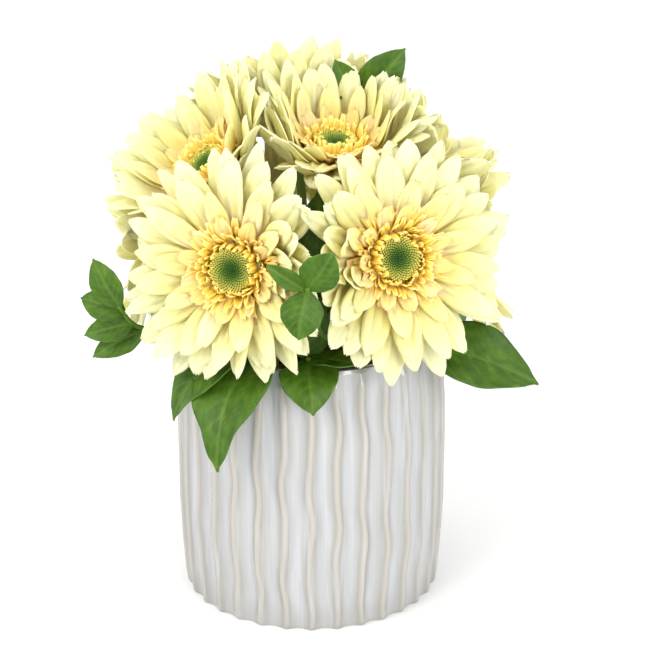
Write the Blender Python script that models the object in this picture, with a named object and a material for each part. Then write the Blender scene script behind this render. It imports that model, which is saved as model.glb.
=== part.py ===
"""Potted gerbera: pale yellow blooms and broad leaves in a white fluted ceramic pot.

Metres, +Z up. The origin is the centre of the pot's flat underside.
The heads stand on a dome round DOME_CENTRE. Each head keeps to its own side of the planes
half way to its neighbours: a petal that would cross one is bent up along its head's axis.
"""

import math
import random

import bmesh
import bpy
from mathutils import Matrix, Vector

# Pot
POT_HEIGHT = 0.133
POT_RADIUS = 0.067
RIDGES = 32
RIDGE_POINTS = 3
FLUTE_DEPTH = 0.0032
RIDGE_WAVE = 0.0013
RIDGE_WAVELENGTH = 0.048
POT_PROFILE = (
    # height, share of POT_RADIUS, share of FLUTE_DEPTH
    (0.000, 0.945, 0.80),
    (0.007, 0.968, 1.00),
    (0.025, 0.988, 1.00),
    (0.043, 1.000, 1.00),
    (0.061, 1.000, 1.00),
    (0.079, 1.000, 1.00),
    (0.097, 0.995, 1.00),
    (0.113, 0.980, 1.00),
    (0.126, 0.950, 0.75),
    (POT_HEIGHT, 0.905, 0.30),
)
RIM_INNER_RADIUS = 0.0555
POT_INNER_RADIUS = 0.0580
POT_SHOULDER = 0.120
POT_FLOOR = 0.008

# Soil
SOIL_TOP = 0.119
SOIL_MOUND = 0.004
GAP = 0.0003
HOLE_FLOOR = 0.085
HOLE_CLEARANCE = 0.0004

# Heads: receptacle distance from the dome's centre, then where the head faces
DOME_CENTRE = Vector((0.0, 0.0, 0.165))
HEADS = (
    # name, azimuth, elevation, distance, facing azimuth, facing elevation, stem base radius, turn
    ("front_left", -121, 15, 0.067, -108, 9, 0.034, 0.3),
    ("front_right", -54, 18, 0.068, -72, 17, 0.034, 1.1),
    ("right", 12, 9, 0.069, 6, 14, 0.036, 2.0),
    ("back_right", 66, 12, 0.066, 68, 14, 0.034, 0.7),
    ("back_left", 121, 11, 0.066, 119, 12, 0.034, 1.7),
    ("left", 168, 13, 0.068, 172, 16, 0.036, 2.6),
    ("upper_left", 198, 47, 0.070, 206, 46, 0.018, 0.9),
    ("top", -38, 76, 0.060, -80, 78, 0.005, 1.4),
    ("upper_right", 22, 44, 0.068, 14, 48, 0.019, 0.1),
    ("back_top", 104, 57, 0.073, 108, 60, 0.018, 2.2),
)
LEADING = ("front_left", "front_right")
LEAD_BACK = 0.003
CELL_POINT = 0.020
CELL_MARGIN = 0.0016

# One head, in its own frame: r from its axis, h along it
PETAL_ROOT = 0.009
LAYERS = (
    # petals, length, widest, rise in degrees, bend share, stations, height of the root
    (10, 0.0500, 0.0195, 10, 1.0, 4, -0.0008),
    (10, 0.0445, 0.0175, 21, 1.0, 3, 0.0004),
    (5, 0.0190, 0.0095, 33, 0.25, 2, 0.0000),
)
PETAL_THICKNESS = 0.0011
PETAL_CURL = 10
WEDGE_SHARE = 0.93
NOTCH = 0.0022
SWAY = 0.0005
BEND_STEP = 3
BEND_EASE = 0.6
BEND_REACH = 2
MOST_BEND = 66
SHORTEST = 0.35
CORE = ((0.0135, -0.0020), (0.0135, 0.0030))
CORE_SIDES = 20
FLORETS = 8
FLORET_RING = ((0.0099, 0.0033), (0.0119, 0.0033), (0.0150, 0.0092), (0.0172, 0.0124))
DISC_RADIUS = 0.0095
DISC_HEIGHT = 0.0050
DISC_SIDES = 8
STEM_RADIUS = 0.0023
STEM_SIDES = 6
CALYX = ((0.0024, -0.0150), (0.0052, -0.0120), (0.0090, -0.0065), (0.0112, -0.0023))

# Petals stay above this cone, and leaves that hang over the rim stay below it
APRON_RADIUS = 0.062
APRON_HEIGHT = 0.143
APRON_SLOPE = 0.55

# Leaves
LEAF_THICKNESS = 0.0012
LEAF_FOLD = 0.20
OVATE = ((0.00, 0.10), (0.14, 0.60), (0.36, 1.00), (0.60, 0.92), (0.82, 0.52), (1.00, 0.03))
LOBED = (
    (0.00, 0.10),
    (0.12, 0.80),
    (0.30, 1.00),
    (0.42, 0.80),
    (0.58, 0.66),
    (0.66, 0.46),
    (0.84, 0.28),
    (1.00, 0.03),
)
TWIG_RADIUS = 0.0012
TWIG_SIDES = 5
SPRIGS = (
    # name, azimuth and radius of the foot, the twig's points above the soil, and the leaves:
    # base, tip, azimuth and elevation that the leaf faces, bulge, width, outline
    (
        "leaves_lower_left",
        (-122, 0.044),
        ((-0.0245, -0.0390, 0.1340), (-0.0275, -0.0450, 0.1385)),
        (
            ((-0.0265, -0.0430, 0.1378), (-0.0425, -0.0815, 0.0925), (-118, 28), 0.011, 0.043, LOBED),
            ((-0.0262, -0.0425, 0.1376), (-0.0640, -0.0600, 0.1090), (-138, 38), 0.011, 0.024, OVATE),
        ),
    ),
    (
        "leaves_front",
        (-92, 0.044),
        ((-0.0015, -0.0470, 0.1330), (-0.0010, -0.0540, 0.1375)),
        (
            ((-0.0012, -0.0505, 0.1356), (0.0015, -0.0780, 0.1190), (-94, 45), 0.006, 0.028, OVATE),
            ((-0.0013, -0.0510, 0.1360), (0.0230, -0.0620, 0.1375), (-60, 70), 0.001, 0.015, OVATE),
            ((-0.0014, -0.0490, 0.1338), (0.0010, -0.0480, 0.1700), (-90, 5), 0.000, 0.020, OVATE),
        ),
    ),
    (
        "leaf_right",
        (-32, 0.046),
        ((0.0430, -0.0265, 0.1330), (0.0520, -0.0310, 0.1375)),
        (((0.0490, -0.0295, 0.1368), (0.1085, -0.0370, 0.1180), (-88, 48), 0.006, 0.034, OVATE),),
    ),
    (
        "leaves_left",
        (-157, 0.048),
        (
            (-0.0500, -0.0215, 0.1370),
            (-0.0640, -0.0280, 0.1415),
            (-0.0820, -0.0360, 0.1470),
            (-0.0900, -0.0380, 0.1580),
        ),
        (
            ((-0.0890, -0.0380, 0.1565), (-0.1020, -0.0310, 0.1790), (-100, 15), 0.002, 0.015, OVATE),
            ((-0.0870, -0.0375, 0.1545), (-0.1080, -0.0350, 0.1610), (-95, 30), 0.002, 0.016, OVATE),
            ((-0.0830, -0.0365, 0.1485), (-0.1065, -0.0400, 0.1440), (-95, 30), 0.002, 0.014, OVATE),
            ((-0.0780, -0.0345, 0.1450), (-0.1030, -0.0400, 0.1330), (-95, 30), 0.002, 0.014, OVATE),
        ),
    ),
    (
        "sprig_centre",
        (-70, 0.038),
        (
            (0.0125, -0.0440, 0.1400),
            (0.0050, -0.0700, 0.1560),
            (0.0028, -0.0900, 0.1722),
            (-0.0010, -0.1000, 0.1880),
        ),
        (
            ((-0.0010, -0.0990, 0.1870), (0.0105, -0.1030, 0.2050), (-80, 15), 0.002, 0.018, OVATE),
            ((-0.0010, -0.0985, 0.1865), (-0.0045, -0.1060, 0.1660), (-100, 10), 0.003, 0.019, OVATE),
            ((-0.0010, -0.0985, 0.1865), (-0.0180, -0.1040, 0.2000), (-110, 15), 0.002, 0.009, OVATE),
        ),
    ),
    (
        "leaf_inner",
        (-85, 0.024),
        ((0.0020, -0.0240, 0.1350), (0.0020, -0.0245, 0.1480)),
        (((0.0020, -0.0240, 0.1450), (0.0040, -0.0350, 0.2140), (-90, 0), 0.002, 0.030, OVATE),),
    ),
    (
        "sprig_top",
        (60, 0.020),
        ((0.0140, 0.0180, 0.2000), (0.0200, 0.0180, 0.2300), (0.0230, 0.0150, 0.2440)),
        (
            ((0.0225, 0.0155, 0.2420), (0.0450, 0.0150, 0.2690), (-85, 20), 0.002, 0.016, OVATE),
            ((0.0225, 0.0155, 0.2410), (0.0115, 0.0180, 0.2630), (-95, 20), 0.001, 0.013, OVATE),
            ((0.0225, 0.0155, 0.2420), (0.0400, 0.0110, 0.2530), (-85, 45), 0.001, 0.009, OVATE),
        ),
    ),
    (
        "leaf_back_right",
        (38, 0.046),
        ((0.0390, 0.0310, 0.1330), (0.0440, 0.0345, 0.1375)),
        (((0.0420, 0.0330, 0.1365), (0.0780, 0.0660, 0.1080), (40, 40), 0.008, 0.032, OVATE),),
    ),
    (
        "leaf_back",
        (93, 0.046),
        ((-0.0026, 0.0500, 0.1330), (-0.0029, 0.0560, 0.1375)),
        (((-0.0028, 0.0535, 0.1365), (-0.0050, 0.0880, 0.1000), (92, 30), 0.008, 0.032, LOBED),),
    ),
    (
        "leaf_back_left",
        (146, 0.046),
        ((-0.0415, 0.0280, 0.1330), (-0.0465, 0.0315, 0.1375)),
        (((-0.0440, 0.0300, 0.1365), (-0.0830, 0.0570, 0.1100), (146, 42), 0.008, 0.030, OVATE),),
    ),
)

SEED = 11


def clear_scene():
    for obj in list(bpy.data.objects):
        bpy.data.objects.remove(obj)


def principled(name, colour, roughness, coat=0.0):
    material = bpy.data.materials.new(name)
    material.use_nodes = True
    shader = material.node_tree.nodes["Principled BSDF"]
    shader.inputs["Base Color"].default_value = (*colour, 1.0)
    shader.inputs["Roughness"].default_value = roughness
    shader.inputs["Metallic"].default_value = 0.0
    shader.inputs["Coat Weight"].default_value = coat
    return material


def add_object(name, points, faces, material):
    mesh = bpy.data.meshes.new(name)
    mesh.from_pydata([tuple(p) for p in points], [], faces)
    shell = bmesh.new()
    shell.from_mesh(mesh)
    bmesh.ops.recalc_face_normals(shell, faces=shell.faces)
    shell.to_mesh(mesh)
    shell.free()
    mesh.materials.append(material)
    obj = bpy.data.objects.new(name, mesh)
    bpy.context.scene.collection.objects.link(obj)
    return obj


def lofted(rings):
    """One closed shape through rings of equal length, with a flat face at each end."""
    count = len(rings[0])
    points = [p for ring in rings for p in ring]
    faces = []
    for i in range(len(rings) - 1):
        for j in range(count):
            a = i * count + j
            b = i * count + (j + 1) % count
            faces.append((a, b, b + count, a + count))
    faces.append(tuple(range(count)))
    faces.append(tuple(range(len(points) - count, len(points))))
    return points, faces


def union(name, body, pieces, material, solver="MANIFOLD"):
    """Joins the pieces to the body with one Boolean on a collection, and removes the pieces."""
    repeats = bpy.data.collections.new(name + "_repeats")
    bpy.context.scene.collection.children.link(repeats)
    for piece in pieces:
        bpy.context.scene.collection.objects.unlink(piece)
        repeats.objects.link(piece)
    join = body.modifiers.new("join", "BOOLEAN")
    join.operation = "UNION"
    join.operand_type = "COLLECTION"
    join.collection = repeats
    join.solver = solver
    bpy.context.view_layer.update()
    graph = bpy.context.evaluated_depsgraph_get()
    joined = bpy.data.meshes.new_from_object(body.evaluated_get(graph))
    body.modifiers.clear()
    body.data = joined
    body.data.materials.clear()
    body.data.materials.append(material)
    for piece in list(repeats.objects):
        bpy.data.objects.remove(piece)
    bpy.data.collections.remove(repeats)
    return body


def polar(radius, angle, height):
    return Vector((radius * math.cos(angle), radius * math.sin(angle), height))


def direction(azimuth, elevation):
    a, e = math.radians(azimuth), math.radians(elevation)
    return Vector((math.cos(a) * math.cos(e), math.sin(a) * math.cos(e), math.sin(e)))


def frame_of(normal, turn=0.0):
    """Two directions across a normal, each turned round it by the angle turn."""
    guide = Vector((0, 0, 1)) if abs(normal.z) < 0.9 else Vector((0, 1, 0))
    across = normal.cross(guide).normalized()
    across = Matrix.Rotation(turn, 3, normal) @ across
    return across, normal.cross(across)


def ridge_shift(ridge, height):
    """How far a ridge wanders sideways, as the hand-cut ridges do."""
    phase = 0.9 * math.sin(1.7 * ridge) + 0.55 * ridge
    slow = math.sin(2 * math.pi * height / RIDGE_WAVELENGTH + phase)
    quick = 0.35 * math.sin(3.7 * math.pi * height / RIDGE_WAVELENGTH + 1.3 * ridge)
    return RIDGE_WAVE * (slow + quick)


def pot_ring(height, radius_share, flute_share):
    ring = []
    for i in range(RIDGES * RIDGE_POINTS):
        ridge, within = divmod(i, RIDGE_POINTS)
        here = ridge_shift(ridge, height)
        following = ridge_shift((ridge + 1) % RIDGES, height)
        part = within / RIDGE_POINTS
        shift = (here * (1 - part) + following * part) * flute_share
        radius = POT_RADIUS * radius_share
        radius -= FLUTE_DEPTH * flute_share * math.sin(math.pi * part)
        angle = 2 * math.pi * i / (RIDGES * RIDGE_POINTS) + shift / POT_RADIUS
        ring.append(polar(radius, angle, height))
    return ring


def plain_ring(radius, height, count):
    return [polar(radius, 2 * math.pi * i / count, height) for i in range(count)]


def make_pot(glaze):
    rings = [pot_ring(*row) for row in POT_PROFILE]
    count = RIDGES * RIDGE_POINTS
    points = [p for ring in rings for p in ring]
    faces = [tuple(range(count - 1, -1, -1))]
    for i in range(len(rings) - 1):
        for j in range(count):
            a = i * count + j
            b = i * count + (j + 1) % count
            faces.append((a, b, b + count, a + count))
    top = (len(rings) - 1) * count
    inner = (
        plain_ring(RIM_INNER_RADIUS, POT_HEIGHT - 0.0008, RIDGES),
        plain_ring(POT_INNER_RADIUS, POT_SHOULDER, RIDGES),
        plain_ring(POT_INNER_RADIUS, POT_FLOOR, RIDGES),
    )
    starts = []
    for ring in inner:
        starts.append(len(points))
        points += ring
    for k in range(RIDGES):
        following = (k + 1) % RIDGES
        outer = [top + (RIDGE_POINTS * k + i) % count for i in range(RIDGE_POINTS + 1)]
        a, b = starts[0] + k, starts[0] + following
        faces += [(outer[0], outer[1], a), (outer[1], outer[2], a), (a, outer[2], b)]
        faces.append((outer[2], outer[3], b))
        for low, high in zip(starts[1:], starts[:-1]):
            faces.append((high + k, high + following, low + following, low + k))
    faces.append(tuple(starts[-1] + k for k in range(RIDGES)))
    pot = add_object("pot", points, faces, glaze)
    pot.data.shade_smooth()
    pot.data.set_sharp_from_angle(angle=math.radians(35))
    return pot


def make_soil(feet, earth):
    """The soil that fills the pot, with a plain hole for each stem."""
    rings = [
        plain_ring(POT_INNER_RADIUS - GAP, POT_FLOOR + GAP, RIDGES),
        plain_ring(POT_INNER_RADIUS - GAP, SOIL_TOP - SOIL_MOUND, RIDGES),
        plain_ring(POT_INNER_RADIUS * 0.55, SOIL_TOP, RIDGES),
    ]
    points, faces = lofted(rings)
    soil = add_object("soil", points, faces, earth)
    cutters = []
    for i, (foot, radius, sides) in enumerate(feet):
        wide = radius + HOLE_CLEARANCE
        hole = [
            [foot + Vector((p.x, p.y, z)) for p in plain_ring(wide, 0, sides)]
            for z in (HOLE_FLOOR - GAP, SOIL_TOP + 0.01)
        ]
        cutters.append(add_object(f"hole_{i}", *lofted(hole), earth))
    joined = union("holes", cutters[0], cutters[1:], earth)
    joined.hide_render = True
    joined.display_type = "WIRE"
    cut = soil.modifiers.new("holes", "BOOLEAN")
    cut.operation = "DIFFERENCE"
    cut.object = joined
    return soil


def head_frames():
    """Each head as (name, receptacle, normal, two directions across, stem foot)."""
    heads = []
    for name, azimuth, elevation, distance, to_azimuth, to_elevation, foot, turn in HEADS:
        centre = DOME_CENTRE + direction(azimuth, elevation) * distance
        normal = direction(to_azimuth, to_elevation)
        across, along = frame_of(normal, turn)
        base = polar(foot, math.radians(azimuth), 0.0)
        heads.append((name, centre, normal, across, along, base))
    return heads


def cell_planes(heads, index):
    """The planes that bound this head's room, each as (point, normal towards this head).

    The first list is half way to the heads of the same rank. The second list is from the
    leading heads, which keep all the room in front of their own planes.
    """
    name, centre, normal = heads[index][:3]
    halfway, ahead = [], []
    for other, head in enumerate(heads):
        if other == index:
            continue
        if name in LEADING and head[0] not in LEADING:
            ahead.append((centre - normal * LEAD_BACK, normal))
        elif head[0] in LEADING and name not in LEADING:
            ahead.append((head[1] - head[2] * LEAD_BACK, -head[2]))
        else:
            mine = centre + normal * CELL_POINT
            theirs = head[1] + head[2] * CELL_POINT
            halfway.append(((mine + theirs) / 2, (mine - theirs).normalized()))
    return halfway, ahead


def smoothstep(x):
    x = min(1.0, max(0.0, x))
    return x * x * (3 - 2 * x)


def petal_line(head, angle, layer, length, bend, stations):
    """Points down the middle of a petal, with the radius and angle of each from the axis."""
    name, centre, normal, across, along, base = head
    outward = across * math.cos(angle) + along * math.sin(angle)
    rise, root = layer[3], layer[6]
    steps = 12
    r, h = PETAL_ROOT, root
    line = [(r, h, math.radians(rise))]
    for i in range(steps):
        s = (i + 0.5) / steps
        slope = math.radians(rise - PETAL_CURL * s + bend * smoothstep((s - 0.08) / 0.5))
        r += length / steps * math.cos(slope)
        h += length / steps * math.sin(slope)
        line.append((r, h, slope))
    found = []
    for k in range(stations):
        r, h, slope = line[round(steps * k / (stations - 1))]
        point = centre + outward * r + normal * h
        upward = normal * math.cos(slope) - outward * math.sin(slope)
        found.append((point, r, upward, outward * math.cos(slope) + normal * math.sin(slope)))
    return found, normal.cross(outward)


def petal_width(s, widest):
    """A strap that widens from its claw and rounds off at the tip."""
    return widest * (0.24 + 0.76 * math.sin(math.pi * min(1.0, s * 1.22) * 0.64) ** 1.2) * (
        1.0 if s < 0.8 else 1.0 - 0.42 * smoothstep((s - 0.8) / 0.2)
    )


def room_left(points, side, halves, planes, leaves):
    """The least distance of a petal's points from the cell's planes, the apron and leaves."""
    least = 1.0
    for (point, r, upward, forward), half in zip(points, halves):
        for origin, normal in planes:
            reach = (point - origin).dot(normal) - half * abs(side.dot(normal))
            least = min(least, reach)
        for edge in (point - side * half, point + side * half):
            radial = math.hypot(edge.x, edge.y)
            apron = APRON_HEIGHT - APRON_SLOPE * max(0.0, radial - APRON_RADIUS)
            least = min(least, edge.z - apron)
        for middle, reach in leaves:
            for place in (point - side * half, point, point + side * half):
                least = min(least, (place - middle).length - reach)
    return least


def petal_room(head, planes, leaves, angle, layer, bend, part):
    """The room that a petal leaves at this bend, when part of its length remains."""
    points, side = petal_line(head, angle, layer, layer[1] * part, bend, 7)
    halves = [petal_width(k / 6, layer[2]) / 2 for k in range(7)]
    return room_left(points[2:], side, halves[2:], planes, leaves)


def bend_profile(head, planes, steps):
    """The bend needed at each of steps angles, eased off from each one to its neighbours."""
    bends = []
    for i in range(steps):
        bend = 0
        angle = 2 * math.pi * i / steps
        while bend < MOST_BEND:
            if petal_room(head, planes, (), angle, LAYERS[0], bend, 1.0) > CELL_MARGIN:
                break
            bend += BEND_STEP
        bends.append(bend)
    for _ in range(BEND_REACH):
        bends = [
            max(bends[i], BEND_EASE * max(bends[i - 1], bends[(i + 1) % steps]))
            for i in range(steps)
        ]
    return bends


def petal_blade(name, head, angle, layer, length, bend, sway, material):
    """A blade of four-sided rings: two thin edges, and a middle that hangs below them."""
    count, full_length, widest, rise, share, stations, root = layer
    line, side = petal_line(head, angle, layer, length, bend, stations)
    rings = []
    wedge = math.tan(math.pi / count) * WEDGE_SHARE
    for k, (point, r, upward, forward) in enumerate(line):
        s = k / (stations - 1)
        half = min(petal_width(s, widest) / 2, r * wedge)
        channel = upward * (half * 0.22)
        half_thick = upward * (PETAL_THICKNESS / 2)
        middle = point - channel
        left = point - side * half + side * sway * s
        right = point + side * half + side * sway * s
        middle += side * sway * s
        if k == stations - 1:
            middle -= forward * NOTCH
        rings.append([left, middle - half_thick, right, middle + half_thick])
    return add_object(name, *lofted(rings), material)


def ring_points(head, radius, height, count, offset=0.0):
    name, centre, normal, across, along, base = head
    return [
        centre
        + (across * math.cos(a) + along * math.sin(a)) * radius
        + normal * height
        for a in (2 * math.pi * (i + offset) / count for i in range(count))
    ]


def make_petals(head, planes, leaves, petal_colour, draw):
    """All the petals of one head, joined to the receptacle that they grow from."""
    core = lofted([ring_points(head, radius, height, CORE_SIDES, 0.5) for radius, height in CORE])
    body = add_object(head[0] + "_petals", *core, petal_colour)
    steps = 2 * LAYERS[0][0]
    halfway, ahead = planes
    profile = bend_profile(head, halfway, steps)
    blades = []
    for number, layer in enumerate(LAYERS):
        count, length, share = layer[0], layer[1], layer[4]
        for i in range(count):
            angle = 2 * math.pi * (i + 0.5 * number) / count
            bend = profile[round(angle / (2 * math.pi) * steps) % steps] * share
            part = draw.uniform(0.95, 1.0)
            while part > SHORTEST:
                room = petal_room(head, halfway + ahead, leaves, angle, layer, bend, part)
                if room > CELL_MARGIN:
                    break
                part -= 0.05
            sway = draw.uniform(-SWAY, SWAY)
            name = f"{head[0]}_{number}_{i}"
            blades.append(
                petal_blade(name, head, angle, layer, length * part, bend, sway, petal_colour)
            )
    return union(head[0], body, blades, petal_colour)


def make_florets(head, orange):
    """The crown of small florets round the disc: a flared ring with a toothed edge."""
    count = 2 * FLORETS
    (inner_r, inner_h), (outer_r, outer_h), (low_r, low_h), (tip_r, tip_h) = FLORET_RING
    inner = ring_points(head, inner_r, inner_h, count)
    outer = ring_points(head, outer_r, outer_h, count)
    tips = ring_points(head, tip_r, tip_h, count)
    dips = ring_points(head, low_r, low_h, count)
    edge = [tips[i] if i % 2 else dips[i] for i in range(count)]
    points = inner + outer + edge
    faces = []
    for i in range(count):
        j = (i + 1) % count
        for a, b in ((0, count), (count, 2 * count), (2 * count, 0)):
            faces.append((a + i, a + j, b + j))
            faces.append((a + i, b + j, b + i))
    return add_object(head[0] + "_florets", points, faces, orange)


def make_disc(head, green):
    """The green disc: a low dome whose rings alternate in height, as its packed buds do."""
    low = FLORET_RING[0][1]
    rings = [
        ring_points(head, DISC_RADIUS, low, DISC_SIDES),
        ring_points(head, DISC_RADIUS, low + DISC_HEIGHT * 0.35, DISC_SIDES),
        ring_points(head, DISC_RADIUS * 0.78, low + DISC_HEIGHT * 0.90, DISC_SIDES, 0.5),
        ring_points(head, DISC_RADIUS * 0.45, low + DISC_HEIGHT * 0.70, DISC_SIDES, 0.0),
        ring_points(head, DISC_RADIUS * 0.18, low + DISC_HEIGHT * 0.85, DISC_SIDES, 0.5),
    ]
    return add_object(head[0] + "_disc", *lofted(rings), green)


def bezier(a, b, c, d, t):
    u = 1 - t
    return a * u**3 + b * (3 * u * u * t) + c * (3 * u * t * t) + d * t**3


def tube_rings(path, radii, sides):
    """Rings across a path, each turned as little as possible from the one before it."""
    rings = []
    across = None
    for i, point in enumerate(path):
        ahead = path[min(i + 1, len(path) - 1)] - path[max(i - 1, 0)]
        ahead.normalize()
        if across is None:
            across, _ = frame_of(ahead)
        across = (across - ahead * across.dot(ahead)).normalized()
        other = ahead.cross(across)
        rings.append(
            [
                point + (across * math.cos(a) + other * math.sin(a)) * radii[i]
                for a in (2 * math.pi * k / sides for k in range(sides))
            ]
        )
    return rings


def make_stem(head, green):
    """A leafless stalk from its hole in the soil to the cup of bracts under the head."""
    name, centre, normal, across, along, base = head
    start = Vector((base.x, base.y, SOIL_TOP + 0.004))
    neck = centre + normal * CALYX[0][1]
    reach = (neck - start).length * 0.42
    bends = [
        bezier(start, start + Vector((0, 0, reach)), neck - normal * reach, neck, t)
        for t in (0.0, 0.35, 0.7)
    ]
    path = [Vector((base.x, base.y, HOLE_FLOOR)), *bends]
    path += [centre + normal * height for radius, height in CALYX]
    radii = [STEM_RADIUS] * (len(path) - len(CALYX)) + [radius for radius, height in CALYX]
    return add_object(name + "_stem", *lofted(tube_rings(path, radii, STEM_SIDES)), green)


def leaf_rings(base, tip, facing, bulge, width, outline):
    """A leaf folded a little along its rib, which bulges towards the side that it faces."""
    control = (base + tip) / 2 + facing * (2 * bulge)
    rings = []
    for s, share in outline:
        point = base * (1 - s) ** 2 + control * (2 * s * (1 - s)) + tip * s**2
        ahead = ((control - base) * (1 - s) + (tip - control) * s).normalized()
        side = ahead.cross(facing).normalized()
        upward = side.cross(ahead)
        half = width / 2 * share
        lift = upward * (half * LEAF_FOLD)
        thick = upward * (LEAF_THICKNESS / 2)
        left, right = point - side * half + lift, point + side * half + lift
        rings.append([left, point - thick, right, point + thick])
    return rings


def leaves_of(sprig):
    """The rings of each leaf of a sprig."""
    name, foot, twig, leaves = sprig
    return [
        leaf_rings(Vector(base), Vector(tip), direction(*facing), bulge, width, outline)
        for base, tip, facing, bulge, width, outline in leaves
    ]


def leaf_rooms(sprigs):
    """Balls round the leaves and twigs, as (middle, radius), for the petals to keep out of."""
    rooms = []
    for sprig in sprigs:
        twig = [Vector(p) for p in sprig[2]]
        for a, b in zip(twig, twig[1:]):
            rooms += [(a.lerp(b, t), TWIG_RADIUS) for t in (0.0, 0.33, 0.67, 1.0)]
        for rings in leaves_of(sprig):
            for left, under, right, over in rings:
                rib = (under + over) / 2
                for t in (0.0, 0.3, 0.6, 0.85):
                    rooms += [(rib.lerp(left, t), 0.001), (rib.lerp(right, t), 0.001)]
    return rooms


def make_sprig(sprig, green):
    """A twig that stands in the soil, with its leaves joined to it."""
    name, foot, twig, leaves = sprig
    base = polar(foot[1], math.radians(foot[0]), HOLE_FLOOR)
    path = [base, Vector((base.x, base.y, SOIL_TOP + 0.003)), *(Vector(p) for p in twig)]
    radii = [TWIG_RADIUS] * len(path)
    body = add_object(name, *lofted(tube_rings(path, radii, TWIG_SIDES)), green)
    blades = [
        add_object(f"{name}_leaf_{i}", *lofted(rings), green)
        for i, rings in enumerate(leaves_of(sprig))
    ]
    return union(name, body, blades, green)


def main():
    draw = random.Random(SEED)
    clear_scene()
    glaze = principled("white_glaze", (0.86, 0.85, 0.83), 0.22, 0.5)
    earth = principled("soil", (0.07, 0.045, 0.03), 0.95)
    yellow = principled("pale_yellow_petal", (0.93, 0.91, 0.58), 0.55)
    orange = principled("orange_floret", (0.93, 0.62, 0.22), 0.55)
    disc_green = principled("disc_green", (0.20, 0.34, 0.12), 0.70)
    stem_green = principled("stem_green", (0.30, 0.45, 0.16), 0.55)
    leaf_green = principled("leaf_green", (0.13, 0.32, 0.09), 0.45)

    make_pot(glaze)
    heads = head_frames()
    rooms = leaf_rooms(SPRIGS)
    feet = [(head[5], STEM_RADIUS, STEM_SIDES) for head in heads]
    for name, foot, twig, leaves in SPRIGS:
        feet.append((polar(foot[1], math.radians(foot[0]), 0.0), TWIG_RADIUS, TWIG_SIDES))
    make_soil(feet, earth)
    for index, head in enumerate(heads):
        make_stem(head, stem_green)
        make_petals(head, cell_planes(heads, index), rooms, yellow, draw)
        make_florets(head, orange)
        make_disc(head, disc_green)
    for sprig in SPRIGS:
        make_sprig(sprig, leaf_green)


main()
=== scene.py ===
"""Looks of the potted gerbera: fine petals, florets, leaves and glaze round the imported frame."""

import math
import random
from collections import namedtuple

import bpy
import numpy as np
from mathutils import Matrix, Vector


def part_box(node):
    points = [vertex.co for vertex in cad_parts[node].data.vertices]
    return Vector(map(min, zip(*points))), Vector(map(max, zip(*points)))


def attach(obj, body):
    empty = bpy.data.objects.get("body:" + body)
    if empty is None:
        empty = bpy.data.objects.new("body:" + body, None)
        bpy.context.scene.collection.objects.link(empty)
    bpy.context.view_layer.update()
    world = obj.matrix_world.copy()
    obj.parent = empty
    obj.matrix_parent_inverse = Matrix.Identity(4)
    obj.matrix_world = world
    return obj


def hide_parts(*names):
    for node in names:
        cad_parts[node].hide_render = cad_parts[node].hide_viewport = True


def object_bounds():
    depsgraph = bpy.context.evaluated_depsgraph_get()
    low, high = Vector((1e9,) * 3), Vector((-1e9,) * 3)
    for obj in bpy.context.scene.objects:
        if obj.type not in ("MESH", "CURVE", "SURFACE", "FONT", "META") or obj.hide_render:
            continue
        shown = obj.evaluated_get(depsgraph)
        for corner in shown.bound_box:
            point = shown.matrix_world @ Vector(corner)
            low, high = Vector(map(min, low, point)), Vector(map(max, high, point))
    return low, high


Head = namedtuple("Head", "name centre normal across along foot")
Layer = namedtuple("Layer", "petals length widest rise bend_share root peach")

# Photograph
CAMERA_PLACE = (0.0068, -0.850, 0.444)
CAMERA_PITCH = 20.0
CAMERA_LENS = 101.8

# Pot
RIDGES = 32
RIDGE_POINTS = 14
FLUTE_DEPTH = 0.0036
RIDGE_WAVE = 0.0008
RIDGE_WAVELENGTH = 0.048
POT_ROWS = 96
POT_PROFILE = (
    # height as a share of the pot's, share of its radius, share of FLUTE_DEPTH
    (0.000, 0.945, 0.60),
    (0.012, 0.958, 0.85),
    (0.053, 0.968, 1.00),
    (0.188, 0.988, 1.00),
    (0.323, 1.000, 1.00),
    (0.459, 1.000, 1.00),
    (0.594, 1.000, 1.00),
    (0.729, 0.995, 1.00),
    (0.850, 0.980, 1.00),
    (0.947, 0.950, 0.80),
    (0.988, 0.922, 0.42),
    (1.000, 0.900, 0.12),
)
RIM_INNER = 0.0560
POT_INNER = 0.0580
FLUTE_ROUNDING = 0.012
CREST_LEVEL = 0.11
CREST_FADE = 1.15
INNER_CREST = 0.35

# Soil
SOIL_TOP = 0.119
SOIL_RADIUS = 0.0576
HOLE_FLOOR = 0.085
SOIL_RINGS = 26
SOIL_SIDES = 72
SOIL_CRUMB = 0.0008
SOIL_MOUND = 0.004
SOIL_EYE = 0.00001

# Heads, placed as the solids are
DOME_CENTRE = Vector((0.0, 0.0, 0.165))
HEADS = (
    # name, azimuth, elevation, distance, facing azimuth, facing elevation, stem base radius, turn
    ("front_left", -121, 15, 0.067, -108, 9, 0.034, 0.3),
    ("front_right", -54, 18, 0.068, -72, 17, 0.034, 1.1),
    ("right", 12, 9, 0.069, 6, 14, 0.036, 2.0),
    ("back_right", 66, 12, 0.066, 68, 14, 0.034, 0.7),
    ("back_left", 121, 11, 0.066, 119, 12, 0.034, 1.7),
    ("left", 168, 13, 0.068, 172, 16, 0.036, 2.6),
    ("upper_left", 198, 47, 0.070, 206, 46, 0.018, 0.9),
    ("top", -38, 76, 0.060, -80, 78, 0.005, 1.4),
    ("upper_right", 22, 44, 0.068, 14, 48, 0.019, 0.1),
    ("back_top", 104, 57, 0.073, 108, 60, 0.018, 2.2),
)
LEADING = ("front_left", "front_right")
LEAD_BACK = 0.003
CELL_POINT = 0.020
CELL_MARGIN = -0.0022
LEADING_MARGIN = -0.0040
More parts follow.
